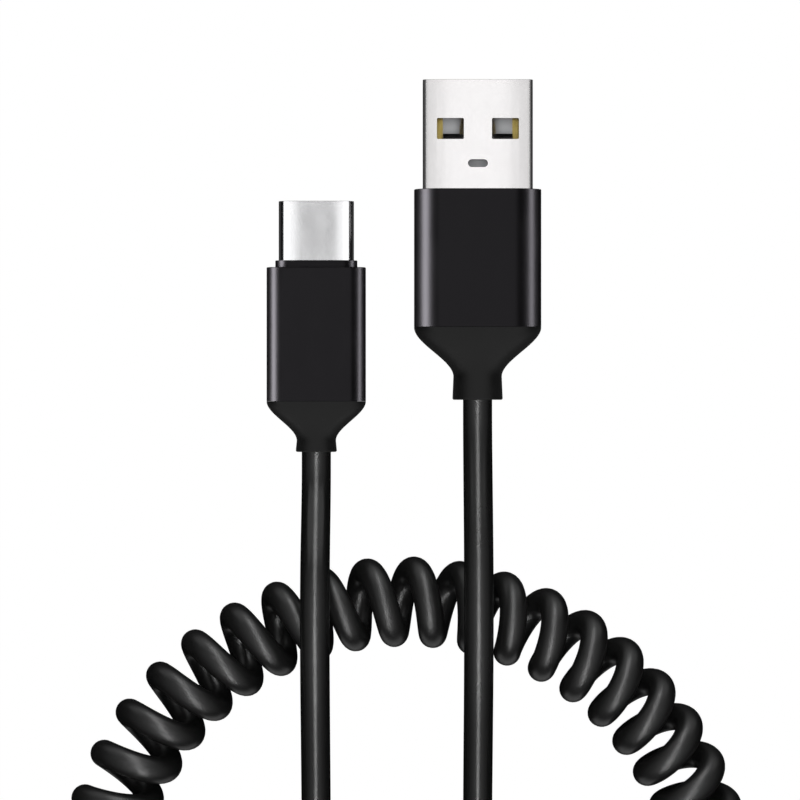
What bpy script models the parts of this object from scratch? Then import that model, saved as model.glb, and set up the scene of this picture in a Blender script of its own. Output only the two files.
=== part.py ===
"""A coiled USB-C to USB-A cable lying on the floor, with both plugs pointing to +Y.

Lengths are in metres. X and Y lie on the floor, Z is up, and the origin is on the floor
under the middle of the two plugs. The coil lies behind them as an arch, and both leads
cross over it on their way to its two ends.
"""

import math

import bmesh
import bpy
import numpy as np

# Clearances between pieces
FIT_GAP = 0.0001
CORD_GAP = 0.0003

# Cord and coil
CORD_DIAMETER = 0.0032
COIL_DIAMETER = 0.0098
ARCH_RADIUS = 0.0337
ARCH_CENTRE_X = 0.00017
ARCH_CENTRE_Y = -0.07034
COIL_TAIL_LENGTH = 0.0197
LEAD_STUB = CORD_DIAMETER / 2
CORD_POINT_SPACING = 2 * CORD_DIAMETER
ARCH_STEPS = 18

# Where the plugs lie beside each other
PLUG_SPACING = 0.01767
USB_A_TIP_LEAD = 0.01316

# USB-A shell and its openings
A_SHELL_WIDTH = 0.0120
A_SHELL_HEIGHT = 0.0045
A_SHELL_WALL = 0.0003
A_SHELL_RADIUS = 0.0006
A_SHELL_EXPOSED = 0.01193
A_SHELL_SEATED = 0.0050
A_WINDOW_WIDTH = 0.00294
A_WINDOW_LENGTH = 0.0023
A_WINDOW_OFFSET = 0.0030
A_WINDOW_FROM_HOUSING = 0.00657
A_SLOT_WIDTH = 0.00217
A_SLOT_LENGTH = 0.00086
A_SLOT_FROM_HOUSING = 0.00279

# USB-A insert and contacts
A_CAVITY_DEPTH = 0.0089
A_TONGUE_THICKNESS = 0.0018
A_TONGUE_RECESS = 0.0005
A_CONTACT_WIDTH = 0.0008
A_CONTACT_THICKNESS = 0.0002
A_CONTACT_RECESS = 0.0010
A_INNER_CONTACT_OFFSET = 0.0010
A_OUTER_CONTACT_OFFSET = 0.0042

# USB-A housing and strain relief
A_HOUSING_WALL = 0.0008
A_HOUSING_SIDE_ROOM = 0.00015
A_HOUSING_FACE_ROOM = 0.00065
A_HOUSING_RADIUS = 0.0030
A_HOUSING_LENGTH = 0.01504
A_CAVITY_RADIUS = 0.0013
A_RELIEF_LENGTH = 0.00796
A_SHOULDER_LENGTH = 0.0054
A_NECK_DIAMETER = 0.0053
A_RELIEF_END_DIAMETER = 0.0055

# USB-C shell
C_SHELL_WIDTH = 0.00825
C_SHELL_HEIGHT = 0.0024
C_SHELL_WALL = 0.00025
C_SHELL_RADIUS = 0.00119
C_SHELL_EXPOSED = 0.0065
C_SHELL_SEATED = 0.0050

# USB-C insert and contacts
C_INSERT_RECESS = 0.0003
C_INSERT_WALL = 0.00036
C_MOUTH_DEPTH = 0.0055
C_CONTACT_WIDTH = 0.00025
C_CONTACT_THICKNESS = 0.00012
C_CONTACT_PITCH = 0.0005
C_CONTACT_RECESS = 0.0008
C_CONTACT_POSITIONS = 12
C_UPPER_CONTACTS = (1, 4, 5, 6, 7, 9, 12)
C_LOWER_CONTACTS = (1, 4, 5, 9, 12)

# USB-C housing, its collar and strain relief
C_COLLAR_LENGTH = 0.00077
C_COLLAR_LAND = 0.000375
C_HOUSING_WALL = 0.0008
C_HOUSING_SIDE_ROOM = 0.0005
C_HOUSING_FACE_ROOM = 0.0008
C_HOUSING_RADIUS = 0.0018
C_HOUSING_LENGTH = 0.01465
C_CAVITY_RADIUS = 0.0010
C_RELIEF_LENGTH = 0.00556
C_SHOULDER_LENGTH = 0.0043
C_NECK_DIAMETER = 0.0043
C_RELIEF_END_DIAMETER = 0.0045

# Mesh density
CORNER_STEPS = 5
SHOULDER_STEPS = 9
LEAD_BEVEL_RESOLUTION = 2
COIL_BEVEL_RESOLUTION = 6

# Sizes and places that follow from the others
A_HOUSING_WIDTH = A_SHELL_WIDTH + 2 * (A_HOUSING_SIDE_ROOM + A_HOUSING_WALL)
A_HOUSING_HEIGHT = A_SHELL_HEIGHT + 2 * (A_HOUSING_FACE_ROOM + A_HOUSING_WALL)
C_HOUSING_WIDTH = C_SHELL_WIDTH + 2 * (C_HOUSING_SIDE_ROOM + C_HOUSING_WALL)
C_HOUSING_HEIGHT = C_SHELL_HEIGHT + 2 * (C_HOUSING_FACE_ROOM + C_HOUSING_WALL)
PLUGS_WIDTH = C_HOUSING_WIDTH / 2 + PLUG_SPACING + A_HOUSING_WIDTH / 2
C_AXIS_X = -PLUGS_WIDTH / 2 + C_HOUSING_WIDTH / 2
A_AXIS_X = C_AXIS_X + PLUG_SPACING
C_LENGTH = C_SHELL_EXPOSED + C_COLLAR_LENGTH + C_HOUSING_LENGTH + C_RELIEF_LENGTH
A_LENGTH = A_SHELL_EXPOSED + A_HOUSING_LENGTH + A_RELIEF_LENGTH
FRONT_Y = max(USB_A_TIP_LEAD + C_LENGTH, A_LENGTH) / 2
A_HOUSING_FRONT_Y = FRONT_Y - A_SHELL_EXPOSED
C_HOUSING_FRONT_Y = FRONT_Y - USB_A_TIP_LEAD - C_SHELL_EXPOSED - C_COLLAR_LENGTH
A_AXIS_Z = A_HOUSING_HEIGHT / 2
C_AXIS_Z = C_HOUSING_HEIGHT / 2
A_CORD_START_Y = A_HOUSING_FRONT_Y - A_HOUSING_LENGTH - A_RELIEF_LENGTH - CORD_GAP
C_CORD_START_Y = C_HOUSING_FRONT_Y - C_HOUSING_LENGTH - C_RELIEF_LENGTH - CORD_GAP
COIL_END_Y = ARCH_CENTRE_Y - COIL_TAIL_LENGTH
LEAD_END_Y = COIL_END_Y - CORD_GAP
LEAD_Z = CORD_DIAMETER / 2

# Routes of the two leads, from the plug over the arch and round to the coil's end
LEAD_C_ROUTE = (
    (C_AXIS_X, C_CORD_START_Y, C_AXIS_Z),
    (C_AXIS_X, C_CORD_START_Y - LEAD_STUB, C_AXIS_Z),
    (C_AXIS_X, -0.0255, 0.0042),
    (C_AXIS_X, -0.0295, 0.0077),
    (C_AXIS_X, -0.0335, 0.0106),
    (C_AXIS_X, -0.0381, 0.0118),
    (C_AXIS_X, -0.0440, 0.0108),
    (C_AXIS_X, -0.0500, 0.0083),
    (C_AXIS_X, -0.0560, 0.0055),
    (C_AXIS_X, -0.0620, 0.0031),
    (C_AXIS_X, -0.0680, 0.0019),
    (C_AXIS_X, -0.0740, LEAD_Z),
    (C_AXIS_X, -0.0840, LEAD_Z),
    (-0.0100, -0.0941, LEAD_Z),
    (-0.0142, -0.1004, LEAD_Z),
    (-0.0216, -0.1030, LEAD_Z),
    (-0.0289, -0.1004, LEAD_Z),
    (-0.0330, -0.0945, LEAD_Z),
    (ARCH_CENTRE_X - ARCH_RADIUS, LEAD_END_Y - LEAD_STUB, LEAD_Z),
    (ARCH_CENTRE_X - ARCH_RADIUS, LEAD_END_Y, LEAD_Z),
)
LEAD_A_ROUTE = (
    (A_AXIS_X, A_CORD_START_Y, A_AXIS_Z),
    (A_AXIS_X, A_CORD_START_Y - LEAD_STUB, A_AXIS_Z),
    (A_AXIS_X, -0.0215, 0.0055),
    (A_AXIS_X, -0.0268, 0.0085),
    (A_AXIS_X, -0.0320, 0.0109),
    (A_AXIS_X, -0.0376, 0.0118),
    (A_AXIS_X, -0.0440, 0.0108),
    (A_AXIS_X, -0.0500, 0.0083),
    (A_AXIS_X, -0.0560, 0.0055),
    (A_AXIS_X, -0.0620, 0.0031),
    (A_AXIS_X, -0.0680, 0.0019),
    (A_AXIS_X, -0.0740, LEAD_Z),
    (A_AXIS_X, -0.0840, LEAD_Z),
    (0.0085, -0.0943, LEAD_Z),
    (0.0130, -0.1012, LEAD_Z),
    (0.0210, -0.1039, LEAD_Z),
    (0.0289, -0.1012, LEAD_Z),
    (0.0333, -0.0947, LEAD_Z),
    (ARCH_CENTRE_X + ARCH_RADIUS, LEAD_END_Y - LEAD_STUB, LEAD_Z),
    (ARCH_CENTRE_X + ARCH_RADIUS, LEAD_END_Y, LEAD_Z),
)


def clear_scene():
    for obj in list(bpy.data.objects):
        bpy.data.objects.remove(obj, do_unlink=True)


def make_material(name, colour, roughness, metallic=0.0):
    material = bpy.data.materials.new(name)
    material.use_nodes = True
    shader = material.node_tree.nodes["Principled BSDF"]
    shader.inputs["Base Color"].default_value = (*colour, 1.0)
    shader.inputs["Roughness"].default_value = roughness
    shader.inputs["Metallic"].default_value = metallic
    return material


def make_object(name, data, material, parent=None):
    data.materials.append(material)
    obj = bpy.data.objects.new(name, data)
    obj.parent = parent
    bpy.context.scene.collection.objects.link(obj)
    return obj


def finish_mesh(name, mesh_edit, material, parent):
    """A closed mesh with its faces out, smooth except at its real edges."""
    bmesh.ops.recalc_face_normals(mesh_edit, faces=mesh_edit.faces)
    mesh = bpy.data.meshes.new(name)
    mesh_edit.to_mesh(mesh)
    mesh_edit.free()
    mesh.shade_smooth()
    mesh.set_sharp_from_angle(angle=math.radians(40))
    return make_object(name, mesh, material, parent)


def rounded_outline(width, height, radius):
    """A rectangle with round corners, as (x, z) points around its centre."""
    radius = min(radius, 0.49 * width, 0.49 * height)
    outline = []
    for quarter, (side_x, side_z) in enumerate(((1, 1), (-1, 1), (-1, -1), (1, -1))):
        for step in range(CORNER_STEPS + 1):
            angle = math.pi / 2 * (quarter + step / CORNER_STEPS)
            x = side_x * (width / 2 - radius) + radius * math.cos(angle)
            z = side_z * (height / 2 - radius) + radius * math.sin(angle)
            outline.append((x, z))
    return outline


def inset_outline(width, height, radius, inset):
    """The rounded rectangle that runs this far inside another, or outside it where inset is negative."""
    return rounded_outline(width - 2 * inset, height - 2 * inset, radius - inset)


def round_outline(diameter):
    """A circle with as many points as a rounded rectangle has."""
    count = 4 * (CORNER_STEPS + 1)
    angles = [2 * math.pi * (i + 0.5) / count for i in range(count)]
    return [(diameter / 2 * math.cos(a), diameter / 2 * math.sin(a)) for a in angles]


def blend(first, second, share):
    """The outline that is this share of the way from the first to the second."""
    return [
        (x0 + share * (x1 - x0), z0 + share * (z1 - z0))
        for (x0, z0), (x1, z1) in zip(first, second)
    ]


def loft(name, sections, material, parent, loop=False):
    """Skin (y, outline) sections in order. A loop joins the last to the first, and others get end caps."""
    mesh_edit = bmesh.new()
    rings = [
        [mesh_edit.verts.new((x, y, z)) for x, z in outline] for y, outline in sections
    ]
    pairs = list(zip(rings, rings[1:]))
    if loop:
        pairs.append((rings[-1], rings[0]))
    else:
        mesh_edit.faces.new(rings[0])
        mesh_edit.faces.new(rings[-1])
    for ring, following in pairs:
        for i in range(len(ring)):
            j = (i + 1) % len(ring)
            mesh_edit.faces.new((ring[i], ring[j], following[j], following[i]))
    return finish_mesh(name, mesh_edit, material, parent)


def box(name, size, centre, material, parent):
    mesh_edit = bmesh.new()
    bmesh.ops.create_cube(mesh_edit, size=1.0)
    bmesh.ops.scale(mesh_edit, vec=size, verts=mesh_edit.verts)
    bmesh.ops.translate(mesh_edit, vec=centre, verts=mesh_edit.verts)
    return finish_mesh(name, mesh_edit, material, parent)


def slot_cutter(name, width, length, height, centre, material, parent):
    """An upright prism with round ends along X."""
    outline = rounded_outline(width, length, length / 2)
    mesh_edit = bmesh.new()
    low, high = (
        [
            mesh_edit.verts.new((centre[0] + x, centre[1] + y, centre[2] + side * height / 2))
            for x, y in outline
        ]
        for side in (-1, 1)
    )
    mesh_edit.faces.new(low)
    mesh_edit.faces.new(high)
    for i in range(len(low)):
        j = (i + 1) % len(low)
        mesh_edit.faces.new((low[i], low[j], high[j], high[i]))
    return finish_mesh(name, mesh_edit, material, parent)


def cut(obj, cutter):
    cutter.hide_render = True
    cutter.display_type = "WIRE"
    modifier = obj.modifiers.new("cut_" + cutter.name, "BOOLEAN")
    modifier.operation = "DIFFERENCE"
    modifier.object = cutter


def shell_sections(width, height, radius, wall, rear_y, front_y):
    outer = rounded_outline(width, height, radius)
    inner = inset_outline(width, height, radius, wall)
    return [(rear_y, outer), (front_y, outer), (front_y, inner), (rear_y, inner)]


def relief_sections(core, core_front_y, rear_y, shoulder, sizes):
    """The core inside the housing, the shoulder's S-shaped taper and the round neck."""
    shoulder_length, neck_diameter, end_diameter, length = sizes
    seat_y = rear_y - FIT_GAP
    neck = round_outline(neck_diameter)
    sections = [(core_front_y, core), (seat_y, core)]
    for step in range(SHOULDER_STEPS + 1):
        share = step / SHOULDER_STEPS
        ease = share * share * (3 - 2 * share)
        sections.append((seat_y - share * shoulder_length, blend(shoulder, neck, ease)))
    sections.append((rear_y - length, round_outline(end_diameter)))
    return sections


def build_usb_a(parent, steel, gold, plastic, anodised, moulded):
    shell = loft(
        "usb_a_shell",
        shell_sections(
            A_SHELL_WIDTH, A_SHELL_HEIGHT, A_SHELL_RADIUS, A_SHELL_WALL, -A_SHELL_SEATED, A_SHELL_EXPOSED
        ),
        steel,
        parent,
        loop=True,
    )
    for side, sign in (("left", -1), ("right", 1)):
        window = box(
            "cutter_window_" + side,
            (A_WINDOW_WIDTH, A_WINDOW_LENGTH, 2 * A_SHELL_HEIGHT),
            (sign * A_WINDOW_OFFSET, A_WINDOW_FROM_HOUSING, 0),
            steel,
            parent,
        )
        cut(shell, window)
    slot = slot_cutter(
        "cutter_slot",
        A_SLOT_WIDTH,
        A_SLOT_LENGTH,
        A_SHELL_HEIGHT,
        (0, A_SLOT_FROM_HOUSING, A_SHELL_HEIGHT / 2),
        steel,
        parent,
    )
    cut(shell, slot)

    inset = A_SHELL_WALL + FIT_GAP
    insert_outline = inset_outline(A_SHELL_WIDTH, A_SHELL_HEIGHT, A_SHELL_RADIUS, inset)
    tongue_tip_y = A_SHELL_EXPOSED - A_TONGUE_RECESS
    insert = loft(
        "usb_a_insert", [(-A_SHELL_SEATED, insert_outline), (tongue_tip_y, insert_outline)], plastic, parent
    )
    cavity_rear_y = A_SHELL_EXPOSED - A_CAVITY_DEPTH
    tongue_top_z = inset - A_SHELL_HEIGHT / 2 + A_TONGUE_THICKNESS
    cavity = box(
        "cutter_cavity",
        (A_SHELL_WIDTH, A_CAVITY_DEPTH, A_SHELL_HEIGHT),
        (0, cavity_rear_y + A_CAVITY_DEPTH / 2, tongue_top_z + A_SHELL_HEIGHT / 2),
        plastic,
        parent,
    )
    cut(insert, cavity)

    contact_rear_y = cavity_rear_y + FIT_GAP
    contact_front_y = tongue_tip_y - A_CONTACT_RECESS
    offsets = (
        -A_OUTER_CONTACT_OFFSET,
        -A_INNER_CONTACT_OFFSET,
        A_INNER_CONTACT_OFFSET,
        A_OUTER_CONTACT_OFFSET,
    )
    for number, offset in enumerate(offsets, start=1):
        box(
            f"usb_a_contact_{number}",
            (A_CONTACT_WIDTH, contact_front_y - contact_rear_y, A_CONTACT_THICKNESS),
            (
                offset,
                (contact_front_y + contact_rear_y) / 2,
                tongue_top_z + FIT_GAP + A_CONTACT_THICKNESS / 2,
            ),
            gold,
            parent,
        )

    outer = rounded_outline(A_HOUSING_WIDTH, A_HOUSING_HEIGHT, A_HOUSING_RADIUS)
    aperture = inset_outline(A_SHELL_WIDTH, A_SHELL_HEIGHT, A_SHELL_RADIUS, -FIT_GAP)
    cavity_width = A_HOUSING_WIDTH - 2 * A_HOUSING_WALL
    cavity_height = A_HOUSING_HEIGHT - 2 * A_HOUSING_WALL
    inner = rounded_outline(cavity_width, cavity_height, A_CAVITY_RADIUS)
    rear_y = -A_HOUSING_LENGTH
    face_y = -A_HOUSING_WALL
    housing = [
        (rear_y, outer),
        (0, outer),
        (0, aperture),
        (face_y, aperture),
        (face_y, inner),
        (rear_y, inner),
    ]
    loft("usb_a_housing", housing, anodised, parent, loop=True)

    core = inset_outline(cavity_width, cavity_height, A_CAVITY_RADIUS, FIT_GAP)
    sizes = (A_SHOULDER_LENGTH, A_NECK_DIAMETER, A_RELIEF_END_DIAMETER, A_RELIEF_LENGTH)
    relief = relief_sections(core, -A_SHELL_SEATED - FIT_GAP, rear_y, outer, sizes)
    loft("usb_a_strain_relief", relief, moulded, parent)


def build_usb_c(parent, steel, gold, plastic, anodised, moulded):
    """The shell's part of this plug is measured from the front of the collar."""
    collar_y = C_COLLAR_LENGTH
    tip_y = collar_y + C_SHELL_EXPOSED
    shell_rear_y = collar_y - C_SHELL_SEATED
    loft(
        "usb_c_shell",
        shell_sections(C_SHELL_WIDTH, C_SHELL_HEIGHT, C_SHELL_RADIUS, C_SHELL_WALL, shell_rear_y, tip_y),
        steel,
        parent,
        loop=True,
    )

    inset = C_SHELL_WALL + FIT_GAP
    insert_outline = inset_outline(C_SHELL_WIDTH, C_SHELL_HEIGHT, C_SHELL_RADIUS, inset)
    mouth_inset = inset + C_INSERT_WALL
    mouth = inset_outline(C_SHELL_WIDTH, C_SHELL_HEIGHT, C_SHELL_RADIUS, mouth_inset)
    insert_front_y = tip_y - C_INSERT_RECESS
    mouth_rear_y = insert_front_y - C_MOUTH_DEPTH
    insert = [
        (shell_rear_y, insert_outline),
        (insert_front_y, insert_outline),
        (insert_front_y, mouth),
        (mouth_rear_y, mouth),
    ]
    loft("usb_c_insert", insert, plastic, parent)

    contact_front_y = insert_front_y - C_CONTACT_RECESS
    contact_rear_y = mouth_rear_y + FIT_GAP
    contact_z = C_SHELL_HEIGHT / 2 - mouth_inset - FIT_GAP / 2 - C_CONTACT_THICKNESS / 2
    middle = (C_CONTACT_POSITIONS + 1) / 2
    for row, sign, positions in (("upper", 1, C_UPPER_CONTACTS), ("lower", -1, C_LOWER_CONTACTS)):
        for position in positions:
            box(
                f"usb_c_contact_{row}_{position}",
                (C_CONTACT_WIDTH, contact_front_y - contact_rear_y, C_CONTACT_THICKNESS),
                (
                    (position - middle) * C_CONTACT_PITCH,
                    (contact_front_y + contact_rear_y) / 2,
                    sign * contact_z,
                ),
                gold,
                parent,
            )

    outer = rounded_outline(C_HOUSING_WIDTH, C_HOUSING_HEIGHT, C_HOUSING_RADIUS)
    collar = inset_outline(C_SHELL_WIDTH, C_SHELL_HEIGHT, C_SHELL_RADIUS, -C_COLLAR_LAND)
    aperture = inset_outline(C_SHELL_WIDTH, C_SHELL_HEIGHT, C_SHELL_RADIUS, -FIT_GAP)
    cavity_width = C_HOUSING_WIDTH - 2 * C_HOUSING_WALL
    cavity_height = C_HOUSING_HEIGHT - 2 * C_HOUSING_WALL
    inner = rounded_outline(cavity_width, cavity_height, C_CAVITY_RADIUS)
    rear_y = -C_HOUSING_LENGTH
    face_y = -C_HOUSING_WALL
    housing = [
        (rear_y, outer),
        (0, outer),
        (0, collar),
        (collar_y, collar),
        (collar_y, aperture),
        (face_y, aperture),
        (face_y, inner),
        (rear_y, inner),
    ]
    loft("usb_c_housing", housing, anodised, parent, loop=True)

    core = inset_outline(cavity_width, cavity_height, C_CAVITY_RADIUS, FIT_GAP)
    sizes = (C_SHOULDER_LENGTH, C_NECK_DIAMETER, C_RELIEF_END_DIAMETER, C_RELIEF_LENGTH)
    relief = relief_sections(core, shell_rear_y - FIT_GAP, rear_y, outer, sizes)
    loft("usb_c_strain_relief", relief, moulded, parent)


def smooth_curve(knots, spacing):
    """Points about this far apart on the natural cubic spline through the knots.

    The stretches between the two knots at either end stay straight, so each end is cut square.
    """
    knots = np.array(knots)
    chords = np.linalg.norm(np.diff(knots, axis=0), axis=1)
    places = np.concatenate([[0.0], np.cumsum(chords)])
    count = len(knots)
    system = np.eye(count)
    right = np.zeros((count, 3))
    for i in range(1, count - 1):
        before, after = chords[i - 1], chords[i]
        system[i, i - 1 : i + 2] = before, 2 * (before + after), after
        right[i] = 6 * ((knots[i + 1] - knots[i]) / after - (knots[i] - knots[i - 1]) / before)
    bends = np.linalg.solve(system, right)
    points = [knots[0]]
    steps = math.ceil((places[-2] - places[1]) / spacing)
    for place in np.linspace(places[1], places[-2], steps + 1):
        i = min(int(np.searchsorted(places, place, side="right")) - 1, count - 2)
        chord = chords[i]
        back = (places[i + 1] - place) / chord
        ahead = 1 - back
        line = back * knots[i] + ahead * knots[i + 1]
        bow = (back**3 - back) * bends[i] + (ahead**3 - ahead) * bends[i + 1]
        points.append(line + bow * chord**2 / 6)
    points.append(knots[-1])
    return points


def tube(name, points, diameter, bevel_resolution, material):
    curve = bpy.data.curves.new(name, "CURVE")
    curve.dimensions = "3D"
    curve.bevel_depth = diameter / 2
    curve.bevel_resolution = bevel_resolution
    curve.use_fill_caps = True
    spline = curve.splines.new("POLY")
    spline.points.add(len(points) - 1)
    for spline_point, point in zip(spline.points, points):
        spline_point.co = (*point, 1.0)
    return make_object(name, curve, material)


def coil_axis():
    """Up one tail, round the arch and down the other tail, at the height where the turns rest on the floor."""
    height = COIL_DIAMETER / 2
    points = [(ARCH_CENTRE_X - ARCH_RADIUS, COIL_END_Y, height)]
    for step in range(ARCH_STEPS + 1):
        angle = math.pi * (1 - step / ARCH_STEPS)
        x = ARCH_CENTRE_X + ARCH_RADIUS * math.cos(angle)
        y = ARCH_CENTRE_Y + ARCH_RADIUS * math.sin(angle)
        points.append((x, y, height))
    points.append((ARCH_CENTRE_X + ARCH_RADIUS, COIL_END_Y, height))
    return points


def build_cord(jacket):
    """The floor stops a lead's curve from dipping below LEAD_Z."""
    for name, route in (("lead_usb_c", LEAD_C_ROUTE), ("lead_usb_a", LEAD_A_ROUTE)):
        points = [
            (x, y, max(z, LEAD_Z)) for x, y, z in smooth_curve(route, CORD_POINT_SPACING)
        ]
        tube(name, points, CORD_DIAMETER, LEAD_BEVEL_RESOLUTION, jacket)
    tube("coil", coil_axis(), COIL_DIAMETER, COIL_BEVEL_RESOLUTION, jacket)


def place_plug(name, x, front_y, z):
    """An empty on the plug's axis, at the front of its housing."""
    plug = bpy.data.objects.new(name, None)
    plug.location = (x, front_y, z)
    bpy.context.scene.collection.objects.link(plug)
    return plug


def main():
    clear_scene()
    steel = make_material("nickel_plated_steel", (0.72, 0.72, 0.73), 0.22, 1.0)
    gold = make_material("gold_plated_bronze", (0.83, 0.60, 0.26), 0.25, 1.0)
    grey_plastic = make_material("grey_moulded_plastic", (0.30, 0.30, 0.31), 0.5)
    black_plastic = make_material("black_moulded_plastic", (0.02, 0.02, 0.02), 0.5)
    anodised = make_material("black_anodised_aluminium", (0.02, 0.02, 0.021), 0.35, 0.6)
    moulded = make_material("black_moulded_elastomer", (0.022, 0.022, 0.022), 0.55)
    jacket = make_material("black_cord_jacket", (0.018, 0.018, 0.018), 0.4)
    usb_a = place_plug("usb_a_plug", A_AXIS_X, A_HOUSING_FRONT_Y, A_AXIS_Z)
    usb_c = place_plug("usb_c_plug", C_AXIS_X, C_HOUSING_FRONT_Y, C_AXIS_Z)
    build_usb_a(usb_a, steel, gold, grey_plastic, anodised, moulded)
    build_usb_c(usb_c, steel, gold, black_plastic, anodised, moulded)
    build_cord(jacket)


if __name__ == "__main__":
    main()
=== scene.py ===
"""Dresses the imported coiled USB-C to USB-A cable and sets up its picture.

Lengths are in metres in the CAD model's frame: both plugs point to +Y and the floor is z = 0.
"""

import logging
import math
from collections.abc import Mapping, Sequence
from dataclasses import dataclass, replace
from enum import Enum

import bmesh
import bpy
import numpy as np
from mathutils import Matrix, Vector


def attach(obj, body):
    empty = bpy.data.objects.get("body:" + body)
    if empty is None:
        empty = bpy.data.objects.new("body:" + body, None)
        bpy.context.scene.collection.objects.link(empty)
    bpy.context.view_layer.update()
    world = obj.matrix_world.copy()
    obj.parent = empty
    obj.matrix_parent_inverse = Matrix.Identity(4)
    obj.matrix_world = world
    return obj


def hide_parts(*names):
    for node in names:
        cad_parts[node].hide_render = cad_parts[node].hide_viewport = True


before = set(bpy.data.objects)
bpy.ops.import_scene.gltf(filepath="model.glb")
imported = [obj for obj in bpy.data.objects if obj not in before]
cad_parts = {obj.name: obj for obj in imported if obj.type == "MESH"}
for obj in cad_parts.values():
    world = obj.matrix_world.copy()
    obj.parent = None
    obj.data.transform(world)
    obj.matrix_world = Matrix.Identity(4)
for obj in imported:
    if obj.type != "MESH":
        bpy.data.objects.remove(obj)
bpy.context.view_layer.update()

LOG = logging.getLogger("coiled_cable")
BODY = "root"

# The gap between neighbouring pieces, and the finer one at the seam behind a housing
FIT_GAP = 0.0001
SEAM_GAP = 0.00001
# How many steps go round a corner, along a flat side, and round an edge that is lofted or bevelled
CORNER_STEPS = 14
FLAT_STEPS = 12
FILLET_STEPS = 4
BEVEL_STEPS = 2
# The most of a side that one corner takes, and the least radius that a corner keeps
CORNER_SHARE = 0.4999
SMALLEST_RADIUS = 0.00001
# How a crowned side falls away to its ends: the higher the power, the later and faster
CROWN_POWER = 4
# Faces that meet at more than this have a sharp edge between them
SHARP_ANGLE = math.radians(40)

# Places of the two plugs, the arch and the ends of the cord, as in the CAD source
C_AXIS_X, C_AXIS_Z, C_FRONT_Y = -0.0095975, 0.0028, -0.00011
A_AXIS_X, A_AXIS_Z, A_FRONT_Y = 0.0080725, 0.0037, 0.00839
C_CORD_START_Y, A_CORD_START_Y = -0.02062, -0.01491
ARCH_CENTRE_X, ARCH_CENTRE_Y, ARCH_RADIUS = 0.00017, -0.07034, 0.0337
COIL_END_Y, LEAD_END_Y = -0.09004, -0.09034
CORD_DIAMETER = 0.0032
# From the arch's top to each of its ends, in degrees
ARCH_END_ANGLE = 90.0
# The straight start and end of each lead, and the height of a lead that lies on the floor
LEAD_STUB = LEAD_Z = CORD_DIAMETER / 2

# Routes of the two leads, from the plug over the arch and round to the coil's end
LEAD_C_ROUTE = (
    (C_AXIS_X, C_CORD_START_Y, C_AXIS_Z),
    (C_AXIS_X, C_CORD_START_Y - LEAD_STUB, C_AXIS_Z),
    (C_AXIS_X, -0.0255, 0.0042),
    (C_AXIS_X, -0.0295, 0.0077),
    (C_AXIS_X, -0.0335, 0.0106),
    (C_AXIS_X, -0.0381, 0.0118),
    (C_AXIS_X, -0.0440, 0.0108),
    (C_AXIS_X, -0.0500, 0.0083),
    (C_AXIS_X, -0.0560, 0.0055),
    (C_AXIS_X, -0.0620, 0.0031),
    (C_AXIS_X, -0.0680, 0.0019),
    (C_AXIS_X, -0.0740, LEAD_Z),
    (C_AXIS_X, -0.0840, LEAD_Z),
    (-0.0100, -0.0941, LEAD_Z),
    (-0.0142, -0.1004, LEAD_Z),
    (-0.0216, -0.1030, LEAD_Z),
    (-0.0289, -0.1004, LEAD_Z),
    (-0.0330, -0.0945, LEAD_Z),
    (ARCH_CENTRE_X - ARCH_RADIUS, LEAD_END_Y - LEAD_STUB, LEAD_Z),
    (ARCH_CENTRE_X - ARCH_RADIUS, LEAD_END_Y, LEAD_Z),
)
LEAD_A_ROUTE = (
    (A_AXIS_X, A_CORD_START_Y, A_AXIS_Z),
    (A_AXIS_X, A_CORD_START_Y - LEAD_STUB, A_AXIS_Z),
    (A_AXIS_X, -0.0215, 0.0055),
    (A_AXIS_X, -0.0268, 0.0085),
    (A_AXIS_X, -0.0320, 0.0109),
    (A_AXIS_X, -0.0376, 0.0118),
    (A_AXIS_X, -0.0440, 0.0108),
    (A_AXIS_X, -0.0500, 0.0083),
    (A_AXIS_X, -0.0560, 0.0055),
    (A_AXIS_X, -0.0620, 0.0031),
    (A_AXIS_X, -0.0680, 0.0019),
    (A_AXIS_X, -0.0740, LEAD_Z),
    (A_AXIS_X, -0.0840, LEAD_Z),
    (0.0085, -0.0943, LEAD_Z),
    (0.0130, -0.1012, LEAD_Z),
    (0.0210, -0.1039, LEAD_Z),
    (0.0289, -0.1012, LEAD_Z),
    (0.0333, -0.0947, LEAD_Z),
    (ARCH_CENTRE_X + ARCH_RADIUS, LEAD_END_Y - LEAD_STUB, LEAD_Z),
    (ARCH_CENTRE_X + ARCH_RADIUS, LEAD_END_Y, LEAD_Z),
)

# An outline is an array of points, and a section an outline with its place along y.
Outline = np.ndarray
Section = tuple[float, Outline]

# Between these values lies nearly all of a noise pattern
PATCH_LOW, PATCH_HIGH = 0.3, 0.7
# The numbers of the colour sockets of a mix node, whose names other sockets have too
MIX_SHARE, MIX_FIRST, MIX_SECOND, MIX_RESULT = 0, 6, 7, 2


class Slot(Enum):
    """The record's material slots."""

    STEEL = "plated_steel"
    GOLD = "gold_contacts"
    GREY_PLASTIC = "grey_plastic"
    BLACK_PLASTIC = "black_plastic"
    ANODISED = "anodised_housing"
    RELIEF = "moulded_relief"
    JACKET = "cord_jacket"


class Place(Enum):
    """What a finish's patterns are laid out on."""

    PART = "the part's own axes"
    CORD = "the cord as if it lay straight"


# Finishes


def linear(hex_colour: str) -> tuple[float, float, float, float]:
    """Turns an sRGB hex colour to linear RGBA."""
    channels = [int(hex_colour[i : i + 2], 16) / 255 for i in (1, 3, 5)]
    return (*(c / 12.92 if c <= 0.04045 else ((c + 0.055) / 1.055) ** 2.4 for c in channels), 1.0)


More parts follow.
